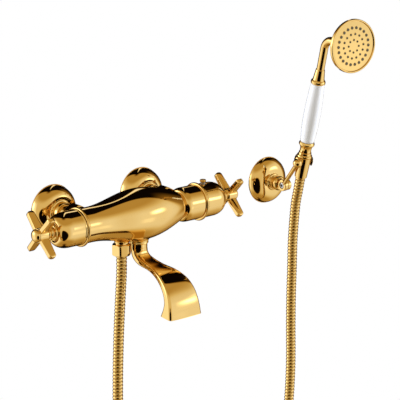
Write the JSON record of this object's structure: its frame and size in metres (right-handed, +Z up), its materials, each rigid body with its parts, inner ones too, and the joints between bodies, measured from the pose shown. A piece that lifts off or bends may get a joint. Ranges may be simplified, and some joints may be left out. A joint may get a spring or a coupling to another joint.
{
  "type": "wall mounted bath faucet",
  "caption": "Wall mounted thermostatic bath mixer in polished gold with cross handles, curved flared spout, hand shower with porcelain grip in a tilting wall holder, and metal hose.",
  "frame": {"origin": "on the finished wall, midway between the centres of the two supply connections", "axes": "+Z up, +Y into the wall, +X to the right as seen by a person facing the wall"},
  "size_m": [0.5198, 0.2157, 0.8153],
  "materials": {
    "polished_gold": "polished gold plate, mirror bright",
    "gold_hose": "bright gold wound metal hose",
    "raw_brass": "machined brass",
    "white_porcelain": "white glazed porcelain",
    "black_rubber": "matt black rubber",
    "grey_plastic": "satin grey acetal",
    "plain_steel": "zinc plated steel"
  },
  "bodies": {
    "mixer": {"mixer_body": "polished_gold", "hot_union": "polished_gold", "cold_union": "polished_gold", "hot_check_valve": "grey_plastic", "cold_check_valve": "grey_plastic", "hot_filter_washer": "black_rubber", "cold_filter_washer": "black_rubber", "hot_union_nut": "polished_gold", "cold_union_nut": "polished_gold", "hot_rosette": "polished_gold", "cold_rosette": "polished_gold", "thermostat_cartridge": "grey_plastic", "thermostat_nut": "raw_brass", "stop_ring": "grey_plastic", "temperature_bead_ring": "polished_gold", "diverter_cartridge": "grey_plastic", "diverter_nut": "raw_brass", "flow_bead_ring": "polished_gold", "cartridge_seals": "black_rubber", "spout": "polished_gold", "spout_collar": "polished_gold", "flow_straightener": "grey_plastic", "shower_outlet": "polished_gold", "hose_washer": "black_rubber", "hose_nut": "polished_gold", "hose_lower": "gold_hose", "wall_plate": "plain_steel", "holder_rosette": "polished_gold", "holder_post": "polished_gold", "knuckle_screw": "plain_steel"},
    "temperature_handle": {"temperature_spindle": "raw_brass", "temperature_sleeve": "polished_gold", "temperature_cross": "polished_gold", "temperature_screw": "plain_steel", "temperature_cap": "polished_gold", "button_spring": "plain_steel"},
    "safety_button": {"safety_button": "polished_gold"},
    "flow_handle": {"flow_spindle": "raw_brass", "flow_sleeve": "polished_gold", "flow_cross": "polished_gold", "flow_screw": "plain_steel", "flow_cap": "polished_gold"},
    "holder_arm": {"holder_arm": "polished_gold", "holder_ring": "polished_gold"},
    "hose_end": {"cone_nut": "polished_gold", "cone_washer": "black_rubber", "hose_upper": "gold_hose"},
    "handset": {"lower_ferrule": "polished_gold", "porcelain_grip": "white_porcelain", "inner_tube": "raw_brass", "upper_ferrule": "polished_gold", "grip_seals": "black_rubber", "head_neck": "polished_gold", "head_shell": "polished_gold", "plate_gasket": "black_rubber", "spray_plate": "polished_gold", "spray_nozzles": "black_rubber"}
  },
  "joints": [
    {"name": "flow_handle_turn", "type": "hinge", "parent": "mixer", "child": "flow_handle", "pos_m": [-0.159, -0.094, 0], "axis": [1, 0, 0], "range_deg": [-90, 90]},
    {"name": "temperature_handle_turn", "type": "hinge", "parent": "mixer", "child": "temperature_handle", "pos_m": [0.159, -0.094, 0], "axis": [1, 0, 0], "range_deg": [-140, 40]},
    {"name": "safety_button_press", "type": "slide", "parent": "temperature_handle", "child": "safety_button", "axis": [0, 0, -1], "range_m": [0, 0.0018], "stiffness_N_per_m": 600, "springref_m": -0.002, "deforming": ["button_spring"]},
    {"name": "holder_tilt", "type": "hinge", "parent": "mixer", "child": "holder_arm", "pos_m": [0.313, -0.0414, -0.022], "axis": [1, 0, 0], "range_deg": [-12, 20], "deforming": ["hose_lower", "hose_upper"]},
    {"name": "handset_lift", "type": "slide", "parent": "holder_arm", "child": "hose_end", "axis": [0, -0.225, 0.9744], "range_m": [0, 0.038], "deforming": ["hose_lower", "hose_upper"]},
    {"name": "handset_twist", "type": "hinge", "parent": "hose_end", "child": "handset", "pos_m": [0.313, -0.0749, -0.0031], "axis": [0, -0.225, 0.9744], "continuous": true}
  ]
}
